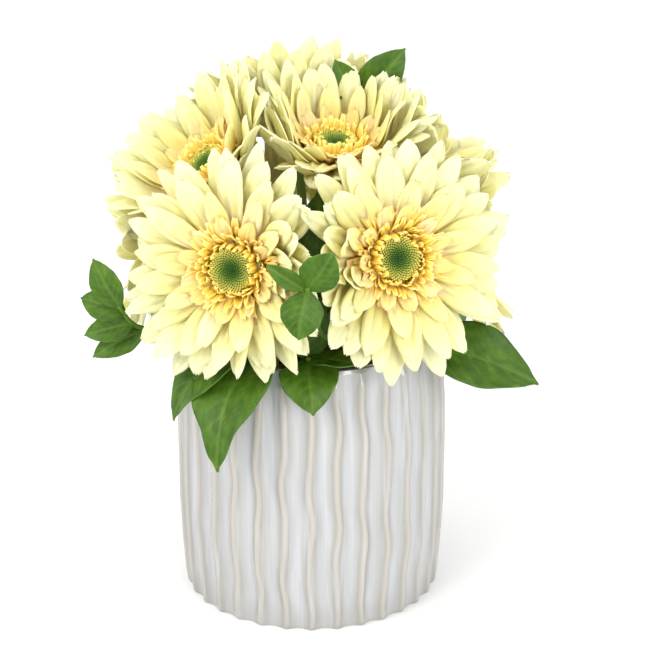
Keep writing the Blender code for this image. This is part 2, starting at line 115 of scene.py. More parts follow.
YOUNG = ("top", "upper_left", "upper_right")
YOUNG_CLOSING = 36
PETAL_ROOT = 0.009
LAYERS = (
    # petals, length, widest, rise in degrees, bend share, height of the root, peach share
    Layer(16, 0.0512, 0.0148, 6, 1.0, -0.0012, 0.0),
    Layer(16, 0.0494, 0.0142, 12, 1.0, -0.0004, 0.0),
    Layer(14, 0.0448, 0.0132, 19, 0.98, 0.0004, 0.0),
    Layer(10, 0.0340, 0.0108, 27, 0.85, 0.0010, 0.15),
    Layer(11, 0.0205, 0.0080, 38, 0.35, 0.0016, 0.50),
)
PETAL_THICKNESS = 0.0005
PETAL_CURL = 10
PETAL_ACROSS = 9
PETAL_ALONG = 14
PETAL_TOP_ROW = 5
PETAL_SPACING = 0.20
PETAL_LENGTHS = (0.86, 1.0)
PETAL_WIDTHS = (0.86, 1.10)
PETAL_LIFT = (-2, 5)
PETAL_CUT = 0.05
FULL_WIDTH = 0.66
CLOSING_START = 0.50
CLOSING_SPAN = 0.510
PETAL_GRAIN = 0.008
TIP_CURL = (-16, 38)
TIP_START = 0.55
TIP_SPAN = 0.45
TWIST = 28
RIPPLE = 0.22
RIPPLE_TURNS = 7
CREASES = (2.1, 3.6)
CREASE_DEPTH = 0.150
CREASE_FADE = 0.4
CHANNEL = (0.34, 0.50)
LEAN = 0.8
NOTCH = (0.5, 1.2)
NOTCH_DEPTH = 0.0013
NOTCH_START = 0.85
NOTCH_SPAN = 0.15
NOTCH_TEETH = 1.8
SEEDS = 50
FULL_TURN = 6.3
BEND_START = 0.08
BEND_SPAN = 0.5
BEND_STEP = 3
BEND_EASE = 0.6
BEND_REACH = 2
BEND_ANGLES = 30
MOST_BEND = 66
SHORTEST = 0.35
ROOM_STATIONS = 7
ROOM_FIRST = 2
FLORET_ROWS = (
    # florets, root radius, length, width, first slope, curl in degrees
    (36, 0.0102, 0.0062, 0.0020, 86, 60),
    (42, 0.0115, 0.0085, 0.0026, 80, 30),
    (42, 0.0128, 0.0100, 0.0030, 70, -10),
    (36, 0.0142, 0.0105, 0.0036, 58, -30),
    (24, 0.0152, 0.0110, 0.0042, 44, -30),
)
FLORET_BASE = 0.0033
FLORET_SINK = 0.0006
FLORET_ALONG = 7
FLORET_ACROSS = 4
FLORET_SPACING = 0.35
FLORET_TURN = 0.5
FLORET_LENGTHS = (0.78, 1.12)
FLORET_CURL = 22
FLORET_SLOPE = 9
FLORET_ROOT = 0.0005
FLORET_BEND = 1.4
FLORET_FORK = 0.0010
FLORET_HOLLOW = 0.7
FLORET_THICKNESS = 0.0003
DISC_RADIUS = 0.0098
DISC_HEIGHT = 0.0050
DISC_SIDES = 24
# share of the disc's radius, share of its height
DISC_DOME = ((1.0, 0.0), (1.0, 0.30), (0.86, 0.62), (0.62, 0.62), (0.36, 0.48), (0.12, 0.40))
DOME_GRAIN = 300
DISC_BUDS = 260
BUD_TURN = 2.39996
BUD_REACH = 0.97
BUD_RINGS = 5
BUD_SIDES = 6
BUD_SWELL = 0.3
BUD_LEAN = 0.25
CORE_RADIUS = 0.0135
CORE_HEIGHTS = (-0.0020, 0.0005, 0.0030)
CORE_SHARES = (0.93, 1.0, 0.93)
CORE_SIDES = 24
STEM_RADIUS = 0.0023
STEM_SIDES = 14
STEM_STEPS = 18
STEM_RISE = 0.004
STEM_REACH = 0.42
CALYX_STEPS = 8
CALYX = ((0.0024, -0.0150), (0.0052, -0.0120), (0.0090, -0.0065), (0.0112, -0.0023))
BRACT_ROWS = ((15, 0.0095), (13, 0.0070))
BRACT_ALONG = 5
BRACT_ACROSS = 3
BRACT_HEIGHT = -0.0115
BRACT_DROP = 0.001
BRACT_RADIUS = 0.0056
BRACT_OPENING = 0.72
BRACT_GAP = 0.0006
BRACT_SPREAD = 0.0004
BRACT_HALF = 0.0017
BRACT_HOLLOW = 0.0003
BRACT_THICKNESS = 0.0005

# Cone over the rim that petals stay above
APRON_RADIUS = 0.062
APRON_HEIGHT = 0.143
APRON_SLOPE = 0.55

# Leaves
LEAF_THICKNESS = 0.0007
LEAF_FOLD = 0.20
LEAF_ACROSS = 21
LEAF_ALONG = 30
LEAF_VEINS = 7
LEAF_TIP = 0.9
LEAF_TIP_SCALE = 3.16
LEAF_LEAST = 0.012
LEAF_ROUNDING = (-0.05, -0.02, 0.02, 0.05)
LEAF_GRAIN = (0.015, 0.03)
VEIN_SLANT = 0.26
VEIN_NARROWING = 3.2
VEIN_FADE = 0.55
VEIN_DEPTH = 0.00028
RIB_HALF = 0.0012
EDGE_WAVE = 0.10
EDGE_TURNS = 11
QUILT = 0.014
BALL_SHARES = (0.0, 0.3, 0.6, 0.85)
BALL_RADIUS = 0.001
OVATE = ((0.00, 0.10), (0.14, 0.60), (0.36, 1.00), (0.60, 0.92), (0.82, 0.52), (1.00, 0.03))
LOBED = ((0.00, 0.10), (0.12, 0.80), (0.30, 1.00), (0.42, 0.80))
LOBED += ((0.58, 0.66), (0.66, 0.46), (0.84, 0.28), (1.00, 0.03))
TWIG_RADIUS = 0.0012
TWIG_SIDES = 8
TWIG_STEPS = 5
TWIG_RISE = 0.003
SPRIGS = (
    # name, azimuth and radius of the foot, the twig's points above the soil, and the leaves:
    # base, tip, azimuth and elevation that the leaf faces, bulge, width, outline
    (
        "leaves_lower_left",
        (-122, 0.044),
        ((-0.0245, -0.039, 0.134), (-0.0275, -0.045, 0.1385)),
        (
            ((-0.0265, -0.043, 0.1378), (-0.0425, -0.0815, 0.0925), (-118, 28), 0.011, 0.043, LOBED),
            ((-0.0262, -0.0425, 0.1376), (-0.064, -0.06, 0.109), (-138, 38), 0.011, 0.024, OVATE),
        ),
    ),
    (
        "leaves_front",
        (-92, 0.044),
        ((-0.0015, -0.047, 0.133), (-0.001, -0.054, 0.1375)),
        (
            ((-0.0012, -0.0505, 0.1356), (0.0015, -0.078, 0.119), (-94, 45), 0.006, 0.028, OVATE),
            ((-0.0013, -0.051, 0.136), (0.023, -0.062, 0.1375), (-60, 70), 0.001, 0.015, OVATE),
            ((-0.0014, -0.049, 0.1338), (0.001, -0.048, 0.17), (-90, 5), 0.0, 0.02, OVATE),
        ),
    ),
    (
        "leaf_right",
        (-32, 0.046),
        ((0.043, -0.0265, 0.133), (0.052, -0.031, 0.1375)),
        (((0.049, -0.0295, 0.1368), (0.1085, -0.037, 0.118), (-88, 48), 0.006, 0.034, OVATE),),
    ),
    (
        "leaves_left",
        (-157, 0.048),
        ((-0.05, -0.0215, 0.137), (-0.064, -0.028, 0.1415), (-0.082, -0.036, 0.147), (-0.09, -0.038, 0.158)),
        (
            ((-0.089, -0.038, 0.1565), (-0.102, -0.031, 0.179), (-100, 15), 0.002, 0.015, OVATE),
            ((-0.087, -0.0375, 0.1545), (-0.108, -0.035, 0.161), (-95, 30), 0.002, 0.016, OVATE),
            ((-0.083, -0.0365, 0.1485), (-0.1065, -0.04, 0.144), (-95, 30), 0.002, 0.014, OVATE),
            ((-0.078, -0.0345, 0.145), (-0.103, -0.04, 0.133), (-95, 30), 0.002, 0.014, OVATE),
        ),
    ),
    (
        "sprig_centre",
        (-70, 0.038),
        ((0.0125, -0.044, 0.14), (0.005, -0.07, 0.156), (0.0028, -0.09, 0.1722), (-0.001, -0.1, 0.188)),
        (
            ((-0.001, -0.099, 0.187), (0.0105, -0.103, 0.205), (-80, 15), 0.002, 0.018, OVATE),
            ((-0.001, -0.0985, 0.1865), (-0.0045, -0.106, 0.166), (-100, 10), 0.003, 0.019, OVATE),
            ((-0.001, -0.0985, 0.1865), (-0.018, -0.104, 0.2), (-110, 15), 0.002, 0.009, OVATE),
        ),
    ),
    (
        "leaf_inner",
        (-85, 0.024),
        ((0.002, -0.024, 0.135), (0.002, -0.0245, 0.148)),
        (((0.002, -0.024, 0.145), (0.004, -0.035, 0.214), (-90, 0), 0.002, 0.03, OVATE),),
    ),
    (
        "sprig_top",
        (60, 0.02),
        ((0.014, 0.018, 0.2), (0.02, 0.018, 0.23), (0.023, 0.015, 0.244)),
        (
            ((0.0225, 0.0155, 0.242), (0.045, 0.015, 0.269), (-85, 20), 0.002, 0.02, OVATE),
            ((0.0225, 0.0155, 0.241), (0.0115, 0.018, 0.263), (-95, 20), 0.001, 0.015, OVATE),
            ((0.0225, 0.0155, 0.242), (0.04, 0.011, 0.253), (-85, 45), 0.001, 0.009, OVATE),
        ),
    ),
    (
        "leaf_back_right",
        (38, 0.046),
        ((0.039, 0.031, 0.133), (0.044, 0.0345, 0.1375)),
        (((0.042, 0.033, 0.1365), (0.078, 0.066, 0.108), (40, 40), 0.008, 0.032, OVATE),),
    ),
    (
        "leaf_back",
        (93, 0.046),
        ((-0.0026, 0.05, 0.133), (-0.0029, 0.056, 0.1375)),
        (((-0.0028, 0.0535, 0.1365), (-0.005, 0.088, 0.1), (92, 30), 0.008, 0.032, LOBED),),
    ),
    (
        "leaf_back_left",
        (146, 0.046),
        ((-0.0415, 0.028, 0.133), (-0.0465, 0.0315, 0.1375)),
        (((-0.044, 0.03, 0.1365), (-0.083, 0.057, 0.11), (146, 42), 0.008, 0.03, OVATE),),
    ),
)

# Studio
FLOOR_REACH = 6.0
FLOOR_CORNERS = ((-1, -1), (1, -1), (1, 1), (-1, 1))
FLOOR_COLOUR = (0.76, 0.76, 0.76, 1.0)
SKY_COLOUR = (1.0, 1.0, 1.0, 1.0)
SKY_STRENGTH = 1.38
LIT_POINT = (0.0, 0.0, 0.13)
LAMPS = (
    # name, place, size, power, colour
    ("key", (-0.8, -0.8, 1.0), 0.8, 12.0, (1.0, 0.98, 0.94)),
    ("fill", (0.7, -1.0, 0.45), 0.6, 7.5, (1.0, 0.99, 0.97)),
)

SEED = 23


# Geometry helpers


def polar(radius, angle, height):
    return Vector((radius * math.cos(angle), radius * math.sin(angle), height))


def direction(azimuth, elevation):
    a, e = math.radians(azimuth), math.radians(elevation)
    return Vector((math.cos(a) * math.cos(e), math.sin(a) * math.cos(e), math.sin(e)))


def frame_of(normal, turn=0.0):
    """Two directions across a normal, each turned round it by the angle turn."""
    guide = Vector((0, 0, 1)) if abs(normal.z) < 0.9 else Vector((0, 1, 0))
    across = normal.cross(guide).normalized()
    across = Matrix.Rotation(turn, 3, normal) @ across
    return across, normal.cross(across)


def around(across, along, angle):
    """The direction at an angle from across, turning towards along."""
    return across * math.cos(angle) + along * math.sin(angle)


def smoothstep(x):
    x = min(1.0, max(0.0, x))
    return x * x * (3 - 2 * x)


def value_at(table, s):
    """The value at s, on straight runs between the rows of a table of (place, value)."""
    for (a, low), (b, high) in zip(table, table[1:]):
        if s <= b:
            return low + (high - low) * (s - a) / (b - a)
    return table[-1][1]


class Surface:
    """Points, faces and point attributes of one piece, gathered from its repeats."""

    def __init__(self):
        self.points, self.faces, self.grain, self.tint = [], [], [], []
        self.count = 0

    def add(self, points, faces, grain, tint):
        self.points.append(np.asarray(points, float).reshape(-1, 3))
        self.grain.append(np.asarray(grain, float).reshape(-1, 3))
        self.tint.append(np.asarray(tint, float).reshape(-1, 3))
        self.faces += [tuple(i + self.count for i in face) for face in faces]
        self.count += len(self.points[-1])

    def piece(self, name, look, slot, *nodes):
        """The finished piece, riding on the plant's one body and standing for its nodes."""
        mesh = bpy.data.meshes.new(name)
        mesh.from_pydata(np.concatenate(self.points).tolist(), [], self.faces)
        for label, rows in (("grain", self.grain), ("tint", self.tint)):
            layer = mesh.attributes.new(label, "FLOAT_VECTOR", "POINT")
            layer.data.foreach_set("vector", np.concatenate(rows).ravel())
        mesh.materials.append(look)
        mesh.shade_smooth()
        obj = bpy.data.objects.new(name, mesh)
        bpy.context.scene.collection.objects.link(obj)
        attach(obj, "root")
        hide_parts(*nodes)


def grid_faces(rows, columns, start=0, flip=False):
    faces = []
    for i in range(rows - 1):
        for j in range(columns - 1):
            a = start + i * columns + j
            face = (a, a + 1, a + columns + 1, a + columns)
            faces.append(face[::-1] if flip else face)
    return faces


def add_blade(surface, grid, upward, thickness, grain, tint):
    """A thin closed blade under a grid of points, whose tint's third value is 1 underneath."""
    rows, columns = grid.shape[:2]
    along = np.gradient(grid, axis=0)
    across = np.gradient(grid, axis=1)
    normal = np.cross(across, along)
    normal /= np.maximum(np.linalg.norm(normal, axis=2, keepdims=True), 1e-9)
    if np.sum(normal * upward) < 0:
        normal = -normal
    top, under = grid + normal * thickness / 2, grid - normal * thickness / 2
    size = rows * columns
    tint_under = tint.copy()
    tint_under[..., 2] = 1.0
    centre = np.cross(across[rows // 2, columns // 2], along[rows // 2, columns // 2])
    flip = bool(np.dot(centre, normal[rows // 2, columns // 2]) < 0)
    faces = grid_faces(rows, columns, 0, flip) + grid_faces(rows, columns, size, not flip)
    border = list(range(columns))
    border += [i * columns + columns - 1 for i in range(1, rows)]
    border += [(rows - 1) * columns + j for j in range(columns - 2, -1, -1)]
    border += [i * columns for i in range(rows - 2, 0, -1)]
    for a, b in zip(border, border[1:] + border[:1]):
        side = (b, a, a + size, b + size)
        faces.append(side[::-1] if flip else side)
    surface.add(
        np.concatenate([top.reshape(-1, 3), under.reshape(-1, 3)]),
        faces,
        np.concatenate([grain.reshape(-1, 3)] * 2),
        np.concatenate([tint.reshape(-1, 3), tint_under.reshape(-1, 3)]),
    )


def smooth_path(points, steps):
    """A smooth line through the points."""
    ends = [points[0] * 2 - points[1], *points, points[-1] * 2 - points[-2]]
    path = []
    for a, b, c, d in zip(ends, ends[1:], ends[2:], ends[3:]):
        for i in range(steps):
            t = i / steps
            path.append(
                0.5
                * (
                    b * 2
                    + (c - a) * t
                    + (a * 2 - b * 5 + c * 4 - d) * t**2
                    + (b * 3 - a - c * 3 + d) * t**3
                )
            )
    return path + [points[-1]]


def tube_faces(rings, sides, flip=False):
    """Faces between rings of points, and a flat face at each end."""
    faces = []
    for i in range(rings - 1):
        for k in range(sides):
            a, b = i * sides + k, i * sides + (k + 1) % sides
            if flip:
                a, b = b, a
            faces.append((a, b, b + sides, a + sides))
    ends = (range(sides - 1, -1, -1), range((rings - 1) * sides, rings * sides))
    return faces + [tuple(end[::-1] if flip else end) for end in ends]


def add_tube(surface, path, radii, sides, seed=0.0):
    """A closed tube along a path, with a flat face at each end."""
    across, rings = None, []
    for i, point in enumerate(path):
        ahead = (path[min(i + 1, len(path) - 1)] - path[max(i - 1, 0)]).normalized()
        if across is None:
            across, _ = frame_of(ahead)
        across = (across - ahead * across.dot(ahead)).normalized()
        other = ahead.cross(across)
        for k in range(sides):
            rings.append(point + around(across, other, 2 * math.pi * k / sides) * radii[i])
    faces = tube_faces(len(path), sides)
    grain = [(k / sides, i / len(path), seed) for i in range(len(path)) for k in range(sides)]
    tint = [(i / (len(path) - 1), 0.0, 0.0) for i in range(len(path)) for k in range(sides)]
    surface.add([tuple(p) for p in rings], faces, grain, tint)


# Materials


def material(name, roughness, subsurface=0.0, coat=0.0, scale=0.002, specular=0.5):
    """A material with its tree and its shader, whose constant values are set here."""
    made = bpy.data.materials.new(name)
    made.use_nodes = True
    shader = made.node_tree.nodes["Principled BSDF"]
    shader.inputs["Roughness"].default_value = roughness
    shader.inputs["Subsurface Weight"].default_value = subsurface
    shader.inputs["Subsurface Radius"].default_value = (1.0, 0.85, 0.5)
    shader.inputs["Subsurface Scale"].default_value = scale
    shader.inputs["Coat Weight"].default_value = coat
    shader.inputs["Coat Roughness"].default_value = 0.12
    shader.inputs["Specular IOR Level"].default_value = specular
    return made, made.node_tree, shader


def node(tree, kind, **values):
    made = tree.nodes.new(kind)
    for key, value in values.items():
        if key in made.inputs:
            made.inputs[key].default_value = value
        else:
            setattr(made, key, value)
    return made


def attribute(tree, name):
    """The three values of a vector attribute, and the vector itself."""
    read = node(tree, "ShaderNodeAttribute", attribute_name=name)
    split = node(tree, "ShaderNodeSeparateXYZ")
    tree.links.new(read.outputs["Vector"], split.inputs[0])
    return split.outputs[0], split.outputs[1], split.outputs[2], read.outputs["Vector"]


def ramp(tree, factor, stops):
    made = node(tree, "ShaderNodeValToRGB")
    elements = made.color_ramp.elements
    while len(elements) < len(stops):
        elements.new(0.5)
    for element, (place, colour) in zip(elements, stops):
        element.position = place
        element.color = (*colour, 1.0)
    tree.links.new(factor, made.inputs["Fac"])
    return made.outputs["Color"]


def mixed(tree, factor, a, b):
    """Colour b over colour a, by a factor that is a socket or a number."""
    made = node(tree, "ShaderNodeMix", data_type="RGBA")
    for socket, value in ((made.inputs[0], factor), (made.inputs[6], a), (made.inputs[7], b)):
        if isinstance(value, bpy.types.NodeSocket):
            tree.links.new(value, socket)
        elif isinstance(value, tuple):
            socket.default_value = (*value, 1.0)
        else:
            socket.default_value = value
    return made.outputs[2]


def maths(tree, operation, a, b=0.0, c=0.0, clamp=False):
    made = node(tree, "ShaderNodeMath", operation=operation, use_clamp=clamp)
    for socket, value in zip(made.inputs, (a, b, c)):
        if isinstance(value, bpy.types.NodeSocket):
            tree.links.new(value, socket)
        else:
            socket.default_value = value
    return made.outputs[0]


def levels(tree, value, gain, offset):
    return maths(tree, "MULTIPLY_ADD", value, gain, offset, clamp=True)


def tinted(tree, base, factor, share, colour):
    """A colour laid over the base by a share of a factor."""
    return mixed(tree, maths(tree, "MULTIPLY", factor, share), base, colour)


def scaled_noise(tree, vector, scale, size, detail=3.0):
    """Noise over a vector that is stretched by scale, size cells to the unit."""
    place = node(tree, "ShaderNodeMapping", Scale=scale)
    noise = node(tree, "ShaderNodeTexNoise", Scale=size, Detail=detail, Roughness=0.6)
    tree.links.new(vector, place.inputs["Vector"])
    tree.links.new(place.outputs[0], noise.inputs["Vector"])
    return noise.outputs["Fac"]


def bump(tree, shader, height, strength, distance):
    made = node(tree, "ShaderNodeBump", Strength=strength, Distance=distance)
    tree.links.new(height, made.inputs["Height"])
    tree.links.new(made.outputs[0], shader.inputs["Normal"])


def petal_material():
    made, tree, shader = material("petal_pale_yellow", 0.6, subsurface=0.55, scale=0.004, specular=0.2)
    along, peach, under, _ = attribute(tree, "tint")
    grain = attribute(tree, "grain")[3]
    base = ramp(
        tree,
        along,
        (
            (0.00, (1.00, 0.54, 0.08)),
            (0.24, (1.00, 0.74, 0.18)),
            (0.50, (1.00, 0.90, 0.31)),
            (0.80, (1.00, 0.96, 0.45)),
            (1.00, (0.98, 0.98, 0.49)),
        ),
    )
    blush = ramp(tree, along, ((0.0, (1.00, 0.58, 0.14)), (0.9, (1.00, 0.74, 0.36))))
    base = mixed(tree, peach, base, blush)
    streak = scaled_noise(tree, grain, (14.0, 0.8, 9.0), 3.0)
    veins = levels(tree, streak, 2.2, -0.95)
    base = tinted(tree, base, veins, 0.34, (0.90, 0.80, 0.22))
    patch = scaled_noise(tree, grain, (0.5, 1.2, 23.0), 1.3)
    tone = levels(tree, patch, 3.4, -1.60)
    near = levels(tree, along, -0.75, 0.80)
    tone = maths(tree, "MULTIPLY", tone, near)
    base = mixed(tree, tone, base, (1.00, 0.70, 0.42))
    milky = scaled_noise(tree, grain, (0.4, 0.9, 41.0), 1.1)
    tone = levels(tree, milky, 3.0, -1.35)
    base = tinted(tree, base, tone, 0.38, (1.00, 0.97, 0.70))
    base = tinted(tree, base, under, 0.35, (0.98, 0.97, 0.44))
    tree.links.new(base, shader.inputs["Base Color"])
    fine = scaled_noise(tree, grain, (60.0, 3.0, 5.0), 3.0, 2.0)
    bump(tree, shader, fine, 0.7, 0.0006)
    return made


def floret_material():
    made, tree, shader = material("floret_orange", 0.6, subsurface=0.4, scale=0.004, specular=0.2)
    along, row = attribute(tree, "tint")[:2]
    grain = attribute(tree, "grain")[3]
    inner = ramp(
        tree,
        along,
        ((0.0, (0.36, 0.23, 0.010)), (0.45, (0.80, 0.50, 0.03)), (1.0, (1.00, 0.78, 0.12))),
    )
    outer = ramp(
        tree,
        along,
        ((0.0, (0.75, 0.40, 0.02)), (0.55, (0.98, 0.66, 0.09)), (1.0, (1.00, 0.62, 0.28))),
    )
    base = mixed(tree, row, inner, outer)
    fleck = scaled_noise(tree, grain, (3.0, 2.0, 31.0), 2.0)
    tone = levels(tree, fleck, 2.0, -0.8)
    base = tinted(tree, base, tone, 0.45, (1.00, 0.86, 0.28))
    tree.links.new(base, shader.inputs["Base Color"])
    return made


def disc_material():
    made, tree, shader = material("disc_green", 0.65, subsurface=0.05, scale=0.001, specular=0.2)
    radius, tip = attribute(tree, "tint")[:2]
    grain = attribute(tree, "grain")[3]
    base = ramp(
        tree,
        radius,
        (
            (0.00, (0.030, 0.090, 0.022)),
            (0.25, (0.065, 0.150, 0.022)),
            (0.55, (0.130, 0.240, 0.030)),
            (0.80, (0.260, 0.310, 0.040)),
            (1.00, (0.62, 0.46, 0.06)),
        ),
    )
    base = tinted(tree, base, tip, 0.75, (0.72, 0.66, 0.16))
    tree.links.new(base, shader.inputs["Base Color"])
    bump(tree, shader, scaled_noise(tree, grain, (9.0, 9.0, 9.0), 4.0), 0.4, 0.0003)
    return made


def leaf_material():
    made, tree, shader = material("leaf_green", 0.45, subsurface=0.05, specular=0.22)
    vein, _, under, _ = attribute(tree, "tint")
    grain = attribute(tree, "grain")[3]
    patch = scaled_noise(tree, grain, (2.0, 2.0, 17.0), 1.6)
    base = ramp(
        tree,
        patch,
        ((0.25, (0.020, 0.058, 0.002)), (0.55, (0.042, 0.105, 0.004)), (0.80, (0.085, 0.165, 0.009))),
    )
    base = tinted(tree, base, vein, 0.40, (0.13, 0.22, 0.030))
    base = tinted(tree, base, under, 0.6, (0.15, 0.27, 0.07))
    tree.links.new(base, shader.inputs["Base Color"])
    bump(tree, shader, scaled_noise(tree, grain, (9.0, 9.0, 17.0), 6.0), 0.25, 0.0003)
    return made


def stem_material():
    made, tree, shader = material("stem_green", 0.5, subsurface=0.08)
    along = attribute(tree, "tint")[0]
    grain = attribute(tree, "grain")[3]
    base = ramp(
        tree,
        along,
        ((0.0, (0.10, 0.13, 0.03)), (0.4, (0.14, 0.26, 0.05)), (1.0, (0.20, 0.38, 0.09))),
    )
    fibre = scaled_noise(tree, grain, (12.0, 1.5, 7.0), 3.0)
    base = tinted(tree, base, fibre, 0.35, (0.30, 0.22, 0.08))
    tree.links.new(base, shader.inputs["Base Color"])
    bump(tree, shader, fibre, 0.3, 0.0003)
    return made


def glaze_material():
    """White glaze, warmer on its ridges, with specks, and painted light: a bluish painted reflection down
    the middle of each flute, painted shade on the flanks beside the ridges and towards the foot, and long
    streaks of painted reflection and painted shade.
    """
    made, tree, shader = material("white_glaze", 0.16, coat=0.6)
    crest, height = attribute(tree, "tint")[:2]
    grain = attribute(tree, "grain")[3]
    # Painted light across each flute: a light bluish painted reflection in the flute's middle (0.00),
    # painted shade on the flanks next to the ridges (0.62), and the glaze's own warmer colour on the ridges.
    base = ramp(
        tree,
        crest,
        (
            (0.00, (0.38, 0.385, 0.395)),
            (0.30, (0.335, 0.335, 0.33)),
            (0.62, (0.275, 0.275, 0.255)),
            (0.80, (0.33, 0.32, 0.295)),
            (0.95, (0.38, 0.345, 0.30)),
        ),
    )
    cloud = scaled_noise(tree, grain, (60.0, 60.0, 25.0), 1.0, 4.0)
    tone = levels(tree, cloud, 1.8, -0.75)
    base = tinted(tree, base, tone, 0.35, (0.35, 0.345, 0.33))
    # Long streaks down the flutes: a bluish painted reflection where the noise is high, painted shade where
    # it is low.
    painted_reflection_and_shade_streaks = scaled_noise(tree, grain, (330.0, 330.0, 14.0), 1.0, 2.0)
    tone = levels(tree, painted_reflection_and_shade_streaks, 3.2, -1.60)
    base = tinted(tree, base, tone, 0.6, (0.47, 0.48, 0.52))
    tone = levels(tree, painted_reflection_and_shade_streaks, -3.2, 1.30)
    base = tinted(tree, base, tone, 0.5, (0.26, 0.265, 0.245))
    # Painted shade: the glaze darker and warmer towards the pot's foot.
    foot = levels(tree, height, -9.0, 1.0)
    base = tinted(tree, base, foot, 0.45, (0.25, 0.24, 0.21))
    speck = scaled_noise(tree, grain, (900.0, 900.0, 900.0), 1.0, 1.0)
    dots = levels(tree, speck, 14.0, -10.3)
    base = tinted(tree, base, dots, 0.5, (0.45, 0.40, 0.34))
    tree.links.new(base, shader.inputs["Base Color"])
    rough = maths(tree, "MULTIPLY_ADD", cloud, 0.16, 0.10)
    tree.links.new(rough, shader.inputs["Roughness"])
    bump(tree, shader, scaled_noise(tree, grain, (160.0, 160.0, 90.0), 1.0), 0.25, 0.0006)
    return made


def soil_material():
    made, tree, shader = material("potting_soil", 0.95)
    grain = attribute(tree, "grain")[3]
    crumbs = scaled_noise(tree, grain, (1.0, 1.0, 1.0), 420.0, 5.0)
    base = ramp(
        tree,
        crumbs,
        ((0.30, (0.012, 0.008, 0.005)), (0.55, (0.045, 0.028, 0.016)), (0.75, (0.12, 0.08, 0.045))),
    )
    tree.links.new(base, shader.inputs["Base Color"])
    bump(tree, shader, crumbs, 0.8, 0.002)
    return made


# Pot and soil


def ridge_shift(ridge, height):
    """How far a ridge wanders sideways, as the hand-cut ridges do."""
    phase = 0.9 * math.sin(1.7 * ridge) + 0.55 * ridge
    slow = math.sin(2 * math.pi * height / RIDGE_WAVELENGTH + phase)
    quick = 0.35 * math.sin(3.7 * math.pi * height / RIDGE_WAVELENGTH + 1.3 * ridge)
    return RIDGE_WAVE * (slow + quick)


def make_pot(glaze):
    """The fluted pot, from its foot over the rim and down the inner wall to its floor."""
    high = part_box("pot")[1]
    radius_most, tall = high.x, high.z
    count = RIDGES * RIDGE_POINTS
    shares = [(s, share) for s, share, depth in POT_PROFILE]
    depths = [(s, depth) for s, share, depth in POT_PROFILE]
    points, tint = [], []
    for row in range(POT_ROWS):
        s = (1 - math.cos(math.pi * row / (POT_ROWS - 1))) / 2
        height = tall * s
        share, depth = value_at(shares, s), value_at(depths, s)
        for i in range(count):
            ridge, within = divmod(i, RIDGE_POINTS)
            part = within / RIDGE_POINTS
            here = ridge_shift(ridge, height)
            following = ridge_shift((ridge + 1) % RIDGES, height)
            shift = (here * (1 - part) + following * part) * depth
            flute = math.sqrt(math.sin(math.pi * part) ** 2 + FLUTE_ROUNDING) - CREST_LEVEL
            radius = radius_most * share - FLUTE_DEPTH * depth * flute
            angle = 2 * math.pi * i / count + shift / radius_most
            points.append(tuple(polar(radius, angle, height)))
            crest = max(0.0, 1 - flute * CREST_FADE) * min(1.0, depth * 1.2)
            tint.append((crest, s, 0.0))
    inner = (
        # share of the pot's radius, height as a share of the pot's
        (0.885, 1.0015),
        (RIM_INNER / radius_most + 0.012, 1.0015),
        (RIM_INNER / radius_most, 0.994),
        (POT_INNER / radius_most, 0.97),
        (POT_INNER / radius_most, 0.90),
        (POT_INNER / radius_most, 0.07),
    )
    for share, s in inner:
        for i in range(count):
            angle = 2 * math.pi * i / count
            points.append(tuple(polar(radius_most * share, angle, tall * min(s, 1.0))))
            tint.append((INNER_CREST, s, 1.0))
    pot = Surface()
    pot.add(points, tube_faces(POT_ROWS + len(inner), count), points, tint)
    pot.piece("glazed_pot", glaze, "glaze", "pot")


def make_soil(earth, draw):
    """The soil's crumbly top and its side down to the pot's floor."""
    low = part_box("soil")[0]
    angles = [2 * math.pi * k / SOIL_SIDES for k in range(SOIL_SIDES)]
    points = []
    for i in range(SOIL_RINGS + 1):
        radius = SOIL_RADIUS * i / SOIL_RINGS + SOIL_EYE
        mound = SOIL_TOP - SOIL_MOUND * (i / SOIL_RINGS) ** 2
        for angle in angles:
            crumb = draw.uniform(-SOIL_CRUMB, SOIL_CRUMB) if i < SOIL_RINGS else 0.0
            points.append(tuple(polar(radius, angle, mound + crumb)))
    points += [tuple(polar(SOIL_RADIUS, angle, low.z)) for angle in angles]
    faces = tube_faces(SOIL_RINGS + 2, SOIL_SIDES, flip=True)
    soil = Surface()
    soil.add(points, faces, points, np.zeros((len(points), 3)))
    soil.piece("potting_soil", earth, "soil", "soil")


# Heads


def head_frames():
    """Each head's receptacle, facing, two directions across and the foot of its stem."""
    heads = []
    for name, azimuth, elevation, distance, to_azimuth, to_elevation, foot, turn in HEADS:
        centre = DOME_CENTRE + direction(azimuth, elevation) * distance
        normal = direction(to_azimuth, to_elevation)
        across, along = frame_of(normal, turn)
        base = polar(foot, math.radians(azimuth), 0.0)
        heads.append(Head(name, centre, normal, across, along, base))
    return heads


def cell_planes(heads, index):
    """The planes that bound this head's room, each as (point, normal towards this head).

    The first list is half way to the heads of the same rank. The second list is from the
    leading heads, which keep all the room in front of their own planes.
    """
    own = heads[index]
    halfway, ahead = [], []
    for head in heads[:index] + heads[index + 1 :]:
        if own.name in LEADING and head.name not in LEADING:
            ahead.append((own.centre - own.normal * LEAD_BACK, own.normal))
        elif head.name in LEADING and own.name not in LEADING:
            ahead.append((head.centre - head.normal * LEAD_BACK, -head.normal))
        else:
            mine = own.centre + own.normal * CELL_POINT
            theirs = head.centre + head.normal * CELL_POINT
            halfway.append(((mine + theirs) / 2, (mine - theirs).normalized()))
    return halfway, ahead


